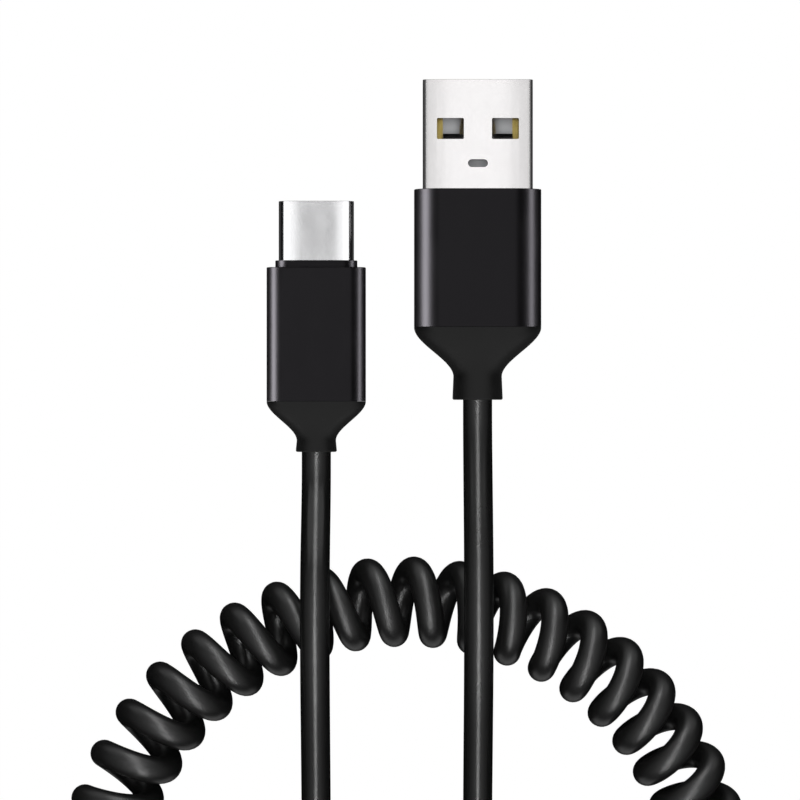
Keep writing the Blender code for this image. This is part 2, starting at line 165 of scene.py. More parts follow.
def add_node(
    tree: bpy.types.NodeTree,
    kind: str,
    settings: Mapping[str, object] | None = None,
    inputs: Mapping[str | int, object] | None = None,
) -> bpy.types.Node:
    """Adds one node with its settings and links.

    Args:
        tree: The node tree that takes the node.
        kind: Blender's name of the node's type.
        settings: The node's own settings, by name.
        inputs: What goes into its sockets, by name or number: an output socket is linked, a value is set.

    Returns:
        The new node.
    """
    node = tree.nodes.new(kind)
    for name, value in (settings or {}).items():
        setattr(node, name, value)
    for name, value in (inputs or {}).items():
        if isinstance(value, bpy.types.NodeSocket):
            tree.links.new(value, node.inputs[name])
        else:
            node.inputs[name].default_value = value
    return node


@dataclass(frozen=True)
class Grain:
    """One noise pattern on a surface.

    size is how large its spots are along x, y and z, and depth how deep they are, both in metres.
    """

    size: tuple[float, float, float]
    depth: float = 0.0
    detail: float = 2.0

    def height(self, tree: bpy.types.NodeTree, place: bpy.types.NodeSocket) -> bpy.types.NodeSocket:
        """Lays the pattern out at its real size.

        Args:
            tree: The material's node tree.
            place: The coordinates that it is laid out on, in metres.

        Returns:
            The pattern's value, from 0 to 1.
        """
        per_metre = [1 / size for size in self.size]
        scaled = add_node(tree, "ShaderNodeMapping", inputs={"Vector": place, "Scale": per_metre})
        noise = add_node(
            tree,
            "ShaderNodeTexNoise",
            inputs={"Vector": scaled.outputs["Vector"], "Scale": 1.0, "Detail": self.detail},
        )
        return noise.outputs["Fac"]


@dataclass(frozen=True)
class Finish:
    """A material and how its surface was made.

    ior is for a plastic, as a metal keeps Blender's own. wound_roughness is the coil's, where it differs.
    """

    name: str
    colour: str
    worn_colour: str
    roughness: float
    roughness_spread: float
    patches: Grain
    grain: Grain
    lines: Grain | None = None
    metallic: float = 0.0
    ior: float = 1.5
    edge_tint: str = "#ffffff"
    wound_roughness: float | None = None
    place: Place = Place.PART

    def coordinates(self, tree: bpy.types.NodeTree) -> bpy.types.NodeSocket:
        """The coordinates for the patterns, in metres."""
        if self.place is Place.CORD:
            straight = {"attribute_name": CurlyCord.STRAIGHT_NAME}
            return add_node(tree, "ShaderNodeAttribute", straight).outputs["Vector"]
        return add_node(tree, "ShaderNodeTexCoord").outputs["Object"]

    def rough(self, tree: bpy.types.NodeTree, patches: bpy.types.NodeSocket) -> bpy.types.NodeSocket:
        """Varies the roughness with the patches, and from the leads to the heat-set coil.

        Args:
            tree: The material's node tree.
            patches: The value of the patches, from 0 to 1.

        Returns:
            The roughness.
        """
        varied = add_node(
            tree,
            "ShaderNodeMapRange",
            inputs={
                "Value": patches,
                "From Min": PATCH_LOW,
                "From Max": PATCH_HIGH,
                "To Min": self.roughness - self.roughness_spread,
                "To Max": self.roughness + self.roughness_spread,
            },
        )
        if self.wound_roughness is None:
            return varied.outputs["Result"]
        wound = add_node(tree, "ShaderNodeAttribute", {"attribute_name": CurlyCord.WOUND_NAME})
        extra = add_node(
            tree,
            "ShaderNodeMath",
            {"operation": "MULTIPLY_ADD"},
            {
                0: wound.outputs["Fac"],
                1: self.wound_roughness - self.roughness,
                2: varied.outputs["Result"],
            },
        )
        return extra.outputs["Value"]

    def material(self) -> bpy.types.Material:
        """Builds the Blender material."""
        made = bpy.data.materials.new(self.name)
        made.use_nodes = True
        tree = made.node_tree
        shader = tree.nodes["Principled BSDF"]
        place = self.coordinates(tree)
        patches = self.patches.height(tree, place)
        tone = add_node(
            tree,
            "ShaderNodeMix",
            {"data_type": "RGBA"},
            {MIX_SHARE: patches, MIX_FIRST: linear(self.colour), MIX_SECOND: linear(self.worn_colour)},
        )
        tree.links.new(tone.outputs[MIX_RESULT], shader.inputs["Base Color"])
        tree.links.new(self.rough(tree, patches), shader.inputs["Roughness"])
        normal = None
        for pattern in filter(None, (self.grain, self.lines)):
            bump = add_node(
                tree,
                "ShaderNodeBump",
                inputs={"Height": pattern.height(tree, place), "Distance": pattern.depth},
            )
            if normal is not None:
                tree.links.new(normal, bump.inputs["Normal"])
            normal = bump.outputs["Normal"]
        tree.links.new(normal, shader.inputs["Normal"])
        shader.inputs["Metallic"].default_value = self.metallic
        if not self.metallic:
            shader.inputs["IOR"].default_value = self.ior
        shader.inputs["Specular Tint"].default_value = linear(self.edge_tint)
        return made


# Extruded thermoplastic elastomer. The die leaves faint lines along the cord and a slight orange peel,
# and the mandrel dulls the coil: a thin clear line of light on the leads, and softer ones on the turns.
# Real die lines are finer than a pixel, so they are drawn 0.15 mm apart.
CORD_JACKET = Finish(
    name="extruded_black_elastomer",
    colour="#0a0a0a",
    worn_colour="#0f0f0f",
    roughness=0.26,
    roughness_spread=0.02,
    patches=Grain((0.003, 0.003, 0.006)),
    grain=Grain((0.0005, 0.0005, 0.0008), 0.0000008),
    lines=Grain((0.00015, 0.00015, 0.03), 0.0000003),
    ior=1.49,
    wound_roughness=0.36,
    place=Place.CORD,
)

# Thermoplastic elastomer moulded in a spark-eroded mould: a fine even grain that spreads the light to a soft
# grey plane. The real grain is about 0.05 mm, drawn at 0.18 mm so that it shows.
MOULDED_RELIEF = Finish(
    name="moulded_black_elastomer",
    colour="#121212",
    worn_colour="#171717",
    roughness=0.5,
    roughness_spread=0.04,
    patches=Grain((0.002, 0.002, 0.002)),
    grain=Grain((0.00018, 0.00018, 0.00018), 0.000006, 3.0),
)

# Aluminium, bead-blasted and anodised black: an even deep black face with a satin band of light on each
# rounded side. The dyed film takes up light that grazes it, so that the top stays dark from low down.
# The blasting pits are about 0.05 mm, drawn at 0.15 mm so that they show.
ANODISED_HOUSING = Finish(
    name="black_anodised_aluminium",
    colour="#232224",
    worn_colour="#282729",
    roughness=0.36,
    roughness_spread=0.02,
    patches=Grain((0.003, 0.005, 0.003)),
    grain=Grain((0.00015, 0.00015, 0.00015), 0.0000025, 3.0),
    metallic=1.0,
    edge_tint="#aaaaaa",
)

# Steel sheet rolled and nickel-plated: bright and slightly warm, with faint rolling lines along the plug.
# Real rolling lines are a few hundredths of a millimetre apart, drawn at 0.12 mm so that they show.
NICKEL_STEEL = Finish(
    name="nickel_plated_steel",
    colour="#dedcdc",
    worn_colour="#e4e2e2",
    roughness=0.18,
    roughness_spread=0.015,
    patches=Grain((0.0015, 0.003, 0.0015)),
    grain=Grain((0.0004, 0.0004, 0.0004), 0.0000008),
    lines=Grain((0.00012, 0.004, 0.00012), 0.0000005),
    metallic=1.0,
)

# Drawn stainless steel with a satin nickel plate: the rolled shell's surface, a shade darker.
DRAWN_STEEL = replace(
    NICKEL_STEEL, name="satin_nickel_plated_steel", colour="#c6c6c7", worn_colour="#cccccd"
)

# Bronze strip with a hard gold plate: a warm yellow gleam, with wiping marks along the contact.
GOLD_BRONZE = Finish(
    name="gold_plated_bronze",
    colour="#c4b06a",
    worn_colour="#b8a25c",
    roughness=0.24,
    roughness_spread=0.05,
    patches=Grain((0.0004, 0.0012, 0.0004)),
    grain=Grain((0.0002, 0.0002, 0.0002), 0.0000008),
    lines=Grain((0.00012, 0.003, 0.00012), 0.0000008),
    metallic=1.0,
)

# PBT moulded in a ground mould: smooth mid-grey with faint flow marks. Its mould grain of about 0.04 mm
# is drawn at 0.15 mm so that it shows.
GREY_PBT = Finish(
    name="moulded_grey_pbt",
    colour="#9a9b9d",
    worn_colour="#a6a7a9",
    roughness=0.45,
    roughness_spread=0.05,
    patches=Grain((0.0012, 0.003, 0.0012)),
    grain=Grain((0.00015, 0.00015, 0.00015), 0.000002),
    ior=1.55,
)

# Liquid-crystal polymer, moulded black: the usual insert of this plug, matte, with the same grain.
BLACK_LCP = replace(
    GREY_PBT, name="moulded_black_lcp", colour="#151515", worn_colour="#1c1c1c", roughness=0.5, ior=1.6
)


# Mesh making


def rounded_rectangle(width: float, height: float, radius: float, crown: float = 0.0) -> Outline:
    """A rectangle with round corners.

    Args:
        width: Its size along x.
        height: Its size along z.
        radius: The corners' radius, cut to what fits.
        crown: How far the middles of the upper and lower sides stand proud.

    Returns:
        Its (x, z) points round the centre, anticlockwise from the right-hand side's upper end.
    """
    radius = max(min(radius, CORNER_SHARE * width, CORNER_SHARE * height), SMALLEST_RADIUS)
    quarter = np.linspace(0, math.pi / 2, CORNER_STEPS + 1)
    share = np.linspace(0, 1, FLAT_STEPS + 1)[1:-1, None]
    corners = []
    for number, (side_x, side_z) in enumerate(((1, 1), (-1, 1), (-1, -1), (1, -1))):
        angles = quarter + number * math.pi / 2
        centre = np.array([side_x * (width / 2 - radius), side_z * (height / 2 - radius)])
        corners.append(centre + radius * np.stack([np.cos(angles), np.sin(angles)], 1))
    made = []
    for number, corner in enumerate(corners):
        flat = (1 - share) * corner[-1] + share * corners[(number + 1) % 4][0]
        if number % 2 == 0:
            flat[:, 1] += (1 - number) * crown * (1 - (2 * share[:, 0] - 1) ** CROWN_POWER)
        made += [corner, flat]
    return np.concatenate(made)


def ring(diameter: float) -> Outline:
    """A circle with as many (x, z) points as a rounded rectangle has, each opposite its own."""
    count = 4 * (CORNER_STEPS + FLAT_STEPS)
    angles = 2 * math.pi * (np.arange(count) + FLAT_STEPS / 2) / count
    return diameter / 2 * np.stack([np.cos(angles), np.sin(angles)], 1)


def smoothstep(share: float | np.ndarray) -> float | np.ndarray:
    """Eases a share from 0 to 1 with a level start and end."""
    share = np.clip(share, 0, 1)
    return share * share * (3 - 2 * share)


@dataclass(frozen=True)
class Bar:
    """A rounded bar along y, whose outline can be taken further in or out."""

    width: float
    height: float
    radius: float
    crown: float = 0.0

    def inset(self, inset: float = 0.0) -> Outline:
        """The outline this far inside the bar's own."""
        return rounded_rectangle(
            self.width - 2 * inset, self.height - 2 * inset, self.radius - inset, self.crown
        )

    def grown(self, room: float) -> "Bar":
        """The bar that is this much larger all round."""
        return Bar(self.width + 2 * room, self.height + 2 * room, self.radius + room, self.crown)

    def edge(self, y: float, fillet: float, outward: int, opening: bool = False) -> list[Section]:
        """The sections of a rounded edge, from the side face to the end face.

        Args:
            y: Where the end face is.
            fillet: The edge's radius.
            outward: 1 where the end face looks to +Y, and -1 where it looks to -Y.
            opening: True for the rim of an opening, which widens towards the end face.

        Returns:
            The sections, the last one on the end face.
        """
        side = -1 if opening else 1
        made = []
        for turn in np.linspace(0, math.pi / 2, FILLET_STEPS + 1):
            inset = side * fillet * (1 - math.cos(turn))
            made.append((y - outward * fillet * (1 - math.sin(turn)), self.inset(inset)))
        return made


def skin(outlines: Sequence[Sequence[Sequence[float]]], loop: bool = False) -> bmesh.types.BMesh:
    """Skins outlines in order.

    Args:
        outlines: The (x, y, z) points of each, as many in one as in the next.
        loop: True joins the last to the first, and False closes both ends.

    Returns:
        The closed mesh, with its faces outward.
    """
    made = bmesh.new()
    rings = [[made.verts.new(point) for point in outline] for outline in outlines]
    pairs = list(zip(rings, rings[1:]))
    if loop:
        pairs.append((rings[-1], rings[0]))
    else:
        made.faces.new(rings[0])
        made.faces.new(rings[-1])
    for near, far in pairs:
        for i in range(len(near)):
            j = (i + 1) % len(near)
            made.faces.new((near[i], near[j], far[j], far[i]))
    bmesh.ops.recalc_face_normals(made, faces=made.faces)
    return made


def loft(sections: Sequence[Section], loop: bool = False) -> bmesh.types.BMesh:
    """The closed mesh of sections along y, joined as in skin."""
    return skin([[(x, y, z) for x, z in outline] for y, outline in sections], loop)


def prism(outline: Outline, low: float, high: float) -> bmesh.types.BMesh:
    """The closed upright prism over an outline's (x, y) points, from one height to another."""
    return skin([[(x, y, z) for x, y in outline] for z in (low, high)])


def to_object(name: str, made: bmesh.types.BMesh, at: Sequence[float]) -> bpy.types.Object:
    """Makes a mesh an object in the scene.

    Args:
        name: The object's name.
        made: The mesh, which is freed.
        at: How far it is moved into place.

    Returns:
        The object, which sits at the origin with its place in its mesh.
    """
    bmesh.ops.translate(made, vec=Vector(at), verts=made.verts)
    mesh = bpy.data.meshes.new(name)
    made.to_mesh(mesh)
    made.free()
    mesh.shade_smooth()
    mesh.set_sharp_from_angle(angle=SHARP_ANGLE)
    obj = bpy.data.objects.new(name, mesh)
    bpy.context.scene.collection.objects.link(obj)
    return obj


def cut_away(obj: bpy.types.Object, cutters: Sequence[bpy.types.Object]) -> None:
    """Cuts each cutter out of the object and deletes it.

    Args:
        obj: The object that is cut.
        cutters: Closed meshes.
    """
    for cutter in cutters:
        modifier = obj.modifiers.new(cutter.name, "BOOLEAN")
        modifier.operation, modifier.object = "DIFFERENCE", cutter
    bpy.context.view_layer.update()
    cut = bpy.data.meshes.new_from_object(obj.evaluated_get(bpy.context.evaluated_depsgraph_get()))
    obj.modifiers.clear()
    old, obj.data = obj.data, cut
    cut.name = obj.name
    bpy.data.meshes.remove(old)
    for cutter in cutters:
        bpy.data.objects.remove(cutter, do_unlink=True)


def soften(obj: bpy.types.Object, width: float) -> None:
    """Rounds the sharp edges of an object.

    Args:
        obj: The object.
        width: How wide the rounded edge is.
    """
    bevel = obj.modifiers.new("rounded_edges", "BEVEL")
    bevel.width, bevel.segments = width, BEVEL_STEPS
    bevel.limit_method, bevel.angle_limit = "ANGLE", SHARP_ANGLE


def dress(obj: bpy.types.Object, finish: bpy.types.Material, nodes: Sequence[str] = ()) -> None:
    """Gives a piece its material and logs it, and puts a new piece on the body in place of its CAD nodes.

    Args:
        obj: The piece.
        finish: Its material.
        nodes: The CAD nodes that it stands for, or none where it is a CAD node itself.
    """
    obj.data.materials.clear()
    obj.data.materials.append(finish)
    if nodes:
        weighted = obj.modifiers.new("level_faces", "WEIGHTED_NORMAL")
        weighted.keep_sharp = True
        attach(obj, BODY)
        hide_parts(*nodes)
    LOG.info("%s: %s", obj.name, finish.name)


# The plugs


@dataclass
class Plug:
    """What the two plugs share: a housing and a strain relief behind a steel shell.

    Places along y are counted from the housing's front face, which is at y = 0 before the plug is moved.
    """

    prefix: str
    at: tuple[float, float, float]
    shell: Bar
    shell_wall: float
    shell_exposed: float
    shell_rear: float
    side_room: float
    face_room: float
    housing_wall: float
    housing_radius: float
    housing_length: float
    cavity_radius: float
    relief_length: float
    shoulder_length: float
    neck_diameter: float
    end_diameter: float
    housing_fillet: float = 0.00008
    seam_fillet: float = 0.00003
    relief_fillet: float = 0.00018
    tip_fillet: float = 0.00004
    bore_room: float = 0.00008
    bore_depth: float = 0.0026
    shoulder_steps: int = 26
    contact_edge: float = 0.00005
    weld_reach: float = 0.000001

    @property
    def housing(self) -> Bar:
        """The outside of the housing."""
        side = self.side_room + self.housing_wall
        face = self.face_room + self.housing_wall
        return Bar(self.shell.width + 2 * side, self.shell.height + 2 * face, self.housing_radius)

    @property
    def cavity(self) -> Bar:
        """The inside of the housing."""
        outside = self.housing
        wall = 2 * self.housing_wall
        return Bar(outside.width - wall, outside.height - wall, self.cavity_radius)

    def shell_mesh(self) -> bmesh.types.BMesh:
        """The shell's tube, with its tip rolled in."""
        inner = self.shell.grown(-self.shell_wall)
        tip = self.shell.edge(self.shell_exposed, self.tip_fillet, 1)
        rim = inner.edge(self.shell_exposed, self.tip_fillet, 1, opening=True)
        outside = [(self.shell_rear, self.shell.inset()), *tip]
        return loft([*outside, *rim[-2::-1], (self.shell_rear, inner.inset())], loop=True)

    def collar_sections(self) -> list[Section]:
        """The housing's front edge and what stands on it, which is nothing on a plain plug."""
        return self.housing.edge(0.0, self.housing_fillet, 1)

    def mouth_y(self) -> float:
        """Where the shell leaves the housing."""
        return 0.0

    def build_housing(self, finish: bpy.types.Material) -> bpy.types.Object:
        """Builds the aluminium sleeve with its rounded edges.

        Args:
            finish: Its material.

        Returns:
            The piece.
        """
        rear_y = -self.housing_length
        aperture = self.shell.grown(FIT_GAP)
        rear = self.housing.edge(rear_y, self.seam_fillet, -1)
        rim = aperture.edge(self.mouth_y(), self.housing_fillet / 2, 1, opening=True)
        sections = [
            *rear[::-1],
            *self.collar_sections(),
            *rim[::-1],
            (-self.housing_wall, aperture.inset()),
            (-self.housing_wall, self.cavity.inset()),
            (rear_y, self.cavity.inset()),
        ]
        piece = to_object(f"{self.prefix}_sleeve", loft(sections, loop=True), self.at)
        dress(piece, finish, [f"{self.prefix}_housing"])
        return piece

    def build_relief(self, finish: bpy.types.Material) -> bpy.types.Object:
        """Builds the strain relief: core, S-shaped shoulder, neck with its lip, and the cord's bore.

        Args:
            finish: Its material.

        Returns:
            The piece.
        """
        rear_y = -self.housing_length
        seat_y = rear_y - SEAM_GAP
        end_y = rear_y - self.relief_length
        core = self.cavity.inset(FIT_GAP)
        sections = [(self.shell_rear - FIT_GAP, core), (seat_y, core)]
        sections += self.housing.edge(seat_y, self.seam_fillet, 1)[::-1]
        start_y = seat_y - self.seam_fillet
        length = self.shoulder_length - self.seam_fillet
        for share in np.linspace(0, 1, self.shoulder_steps + 1)[1:]:
            ease = smoothstep(share)
            outline = (1 - ease) * self.housing.inset() + ease * ring(self.neck_diameter)
            sections.append((start_y - share * length, outline))
        lip_y = end_y + self.relief_fillet
        sections.append((lip_y, ring(self.end_diameter)))
        for turn in np.linspace(0, math.pi / 2, FILLET_STEPS + 1)[1:]:
            diameter = self.end_diameter - 2 * self.relief_fillet * (1 - math.cos(turn))
            sections.append((lip_y - self.relief_fillet * math.sin(turn), ring(diameter)))
        bore = CORD_DIAMETER + 2 * self.bore_room
        sections.append((end_y, ring(bore + 2 * self.relief_fillet)))
        sections.append((end_y + self.relief_fillet, ring(bore)))
        sections.append((end_y + self.bore_depth, ring(bore)))
        piece = to_object(f"{self.prefix}_relief", loft(sections), self.at)
        dress(piece, finish, [f"{self.prefix}_strain_relief"])
        return piece

    def gild(self, contacts: Sequence[str], finish: bpy.types.Material) -> list[bpy.types.Object]:
        """Gives the CAD's own contacts rounded edges and gold.

        Args:
            contacts: The names of the CAD nodes.
            finish: Their material.

        Returns:
            The pieces.
        """
        pieces = [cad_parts[name] for name in contacts]
        for piece in pieces:
            piece.modifiers.new("joined_corners", "WELD").merge_threshold = self.weld_reach
            soften(piece, self.contact_edge)
            dress(piece, finish)
        return pieces


@dataclass
class UsbAPlug(Plug):
    """The wide plug: a rolled shell with two windows and a slot, over a tongue with four contacts."""

    window_width: float = 0.00294
    window_length: float = 0.0023
    window_offset: float = 0.0030
    window_y: float = 0.00657
    window_radius: float = 0.00015
    lip_width: float = 0.00048
    lip_length: float = 0.00062
    lip_depth: float = 0.0012
    lip_end: float = 0.0038
    lip_thickness: float = 0.00012
    slot_width: float = 0.00217
    slot_length: float = 0.00086
    slot_y: float = 0.00279
    pocket_depth: float = 0.0019
    seam_width: float = 0.00006
    cavity_depth: float = 0.0089
    brow_length: float = 0.0004
    tongue_thickness: float = 0.0018
    tongue_recess: float = 0.0005
    cut_edge: float = 0.00003

    @property
    def slot(self) -> Outline:
        """The slot's outline, which the pocket behind it has too."""
        shape = rounded_rectangle(self.slot_width, self.slot_length, self.slot_length / 2)
        return shape + (0, self.slot_y)

    def cutters(self) -> list[bpy.types.Object]:
        """The windows through both faces, the slot in the upper one and the seam in the lower one."""
        reach = self.shell.height
        made = []
        window = rounded_rectangle(self.window_width, self.window_length, self.window_radius)
        for name, side in (("left", -1), ("right", 1)):
            place = window + (side * self.window_offset, self.window_y)
            made.append(to_object(f"window_{name}", prism(place, -reach, reach), self.at))
        made.append(to_object("slot", prism(self.slot, 0, reach), self.at))
        seam = rounded_rectangle(self.seam_width, 2 * self.shell_exposed, self.seam_width / 2)
        made.append(to_object("seam", prism(seam, -reach, 0), self.at))
        return made

    def lips(self) -> bmesh.types.BMesh:
        """The window edges nearest the middle and the housing, pressed down into the shell."""
        made = bmesh.new()
        top = self.shell.height / 2 - self.shell_wall / 2
        foot, low_foot = top - self.lip_depth, top - self.lip_length
        low_y = self.window_y - self.window_length / 2
        high_y = self.window_y + self.window_length / 2
        for side in (-1, 1):
            near_x = side * (self.window_offset - self.window_width / 2)
            far_x = side * self.lip_end
            bent_x = near_x + side * self.lip_width
            edge = [(near_x, high_y, top), (near_x, low_y, top), (far_x, low_y, top)]
            bent = [(bent_x, high_y, foot), (bent_x, low_y + self.lip_length, low_foot)]
            bent.append((far_x, low_y + self.lip_length, low_foot))
            upper = [[made.verts.new(point) for point in line] for line in (edge, bent)]
            drop = Vector((0, 0, -self.lip_thickness))
            lower = [[made.verts.new(Vector(point) + drop) for point in line] for line in (edge, bent)]
            for i in (0, 1):
                for near, far in (upper, lower):
                    made.faces.new((near[i], near[i + 1], far[i + 1], far[i]))
                for line in (0, 1):
                    made.faces.new((upper[line][i], upper[line][i + 1], lower[line][i + 1], lower[line][i]))
            for i in (0, 2):
                made.faces.new((upper[0][i], upper[1][i], lower[1][i], lower[0][i]))
        bmesh.ops.recalc_face_normals(made, faces=made.faces)
        return made

    def build_shell(self, finish: bpy.types.Material) -> bpy.types.Object:
        """Builds the shell with its openings and pressed lips.

        Args:
            finish: Its material.

        Returns:
            The piece.
        """
        piece = to_object(f"{self.prefix}_rolled_shell", self.shell_mesh(), self.at)
        cut_away(piece, self.cutters())
        whole = bmesh.new()
        whole.from_mesh(piece.data)
        lips = to_object("lips", self.lips(), self.at)
        whole.from_mesh(lips.data)
        bpy.data.objects.remove(lips, do_unlink=True)
        whole.to_mesh(piece.data)
        whole.free()
        piece.data.shade_smooth()
        piece.data.set_sharp_from_angle(angle=SHARP_ANGLE)
        soften(piece, self.cut_edge)
        dress(piece, finish, [f"{self.prefix}_shell"])
        return piece

    def build_insert(self, finish: bpy.types.Material) -> bpy.types.Object:
        """Builds the plastic block and its tongue.

        Args:
            finish: Its material.

        Returns:
            The piece.
        """
        block = self.shell.grown(-self.shell_wall - FIT_GAP)
        tip_y = self.shell_exposed - self.tongue_recess
        tip = block.edge(tip_y, self.tip_fillet, 1)
        mesh = loft([(self.shell_rear, block.inset()), *tip])
        piece = to_object(f"{self.prefix}_tongue_block", mesh, self.at)
        rear_y = self.shell_exposed - self.cavity_depth
        tongue_z = -block.height / 2 + self.tongue_thickness
        depth = self.cavity_depth - self.brow_length
        # The cutter is twice as long as the cavity, which therefore opens to the front.
        room = rounded_rectangle(self.shell.width, 2 * depth, self.tip_fillet)
        room = room + (0, rear_y + self.brow_length + depth)
        mouth = to_object("mouth", prism(room, tongue_z, self.shell.height), self.at)
        foot = self.shell.height / 2 - self.pocket_depth
        pocket = to_object("pocket", prism(self.slot, foot, self.shell.height), self.at)
        cut_away(piece, [mouth, pocket])
        soften(piece, self.cut_edge)
        dress(piece, finish, [f"{self.prefix}_insert"])
        return piece


@dataclass
class UsbCPlug(Plug):
    """The slim plug: a drawn shell with round ends over a black insert, in a housing with a collar."""

    collar_length: float = 0.00077
    collar_land: float = 0.000375
    insert_recess: float = 0.0003
    insert_wall: float = 0.00036
    mouth_depth: float = 0.0055
    mouth_chamfer: float = 0.00012
    contact_edge: float = 0.00002

    def collar_sections(self) -> list[Section]:
        """The housing's front edge, then the collar round the shell."""
        collar = self.shell.grown(self.collar_land)
        return [
            *self.housing.edge(0.0, self.housing_fillet, 1),
            (0.0, collar.inset()),
            *collar.edge(self.collar_length, self.housing_fillet / 2, 1),
        ]

    def mouth_y(self) -> float:
        """Where the shell leaves the collar."""
        return self.collar_length

    def build_shell(self, finish: bpy.types.Material) -> bpy.types.Object:
        """Builds the drawn shell.

        Args:
            finish: Its material.

        Returns:
            The piece.
        """
        piece = to_object(f"{self.prefix}_drawn_shell", self.shell_mesh(), self.at)
        dress(piece, finish, [f"{self.prefix}_shell"])
        return piece

    def build_insert(self, finish: bpy.types.Material) -> bpy.types.Object:
        """Builds the insert with its chamfered mouth.

        Args:
            finish: Its material.

        Returns:
            The piece.
        """
        block = self.shell.grown(-self.shell_wall - FIT_GAP)
        mouth = block.grown(-self.insert_wall)
        front_y = self.shell_exposed - self.insert_recess
        sections = [
            (self.shell_rear, block.inset()),
            (front_y, block.inset()),
            (front_y, mouth.inset(-self.mouth_chamfer)),
            (front_y - self.mouth_chamfer, mouth.inset()),
            (front_y - self.mouth_depth, mouth.inset()),
        ]
        piece = to_object(f"{self.prefix}_mouth_insert", loft(sections), self.at)
        dress(piece, finish, [f"{self.prefix}_insert"])
        return piece


# The cord


def running_total(steps: np.ndarray) -> np.ndarray:
    """The running total of steps, from 0 before the first one."""
    return np.concatenate([[0.0], np.cumsum(steps)])


def way_along(line: np.ndarray) -> np.ndarray:
    """How far along a line each of its points is."""
    return running_total(np.linalg.norm(np.diff(line, axis=0), axis=1))


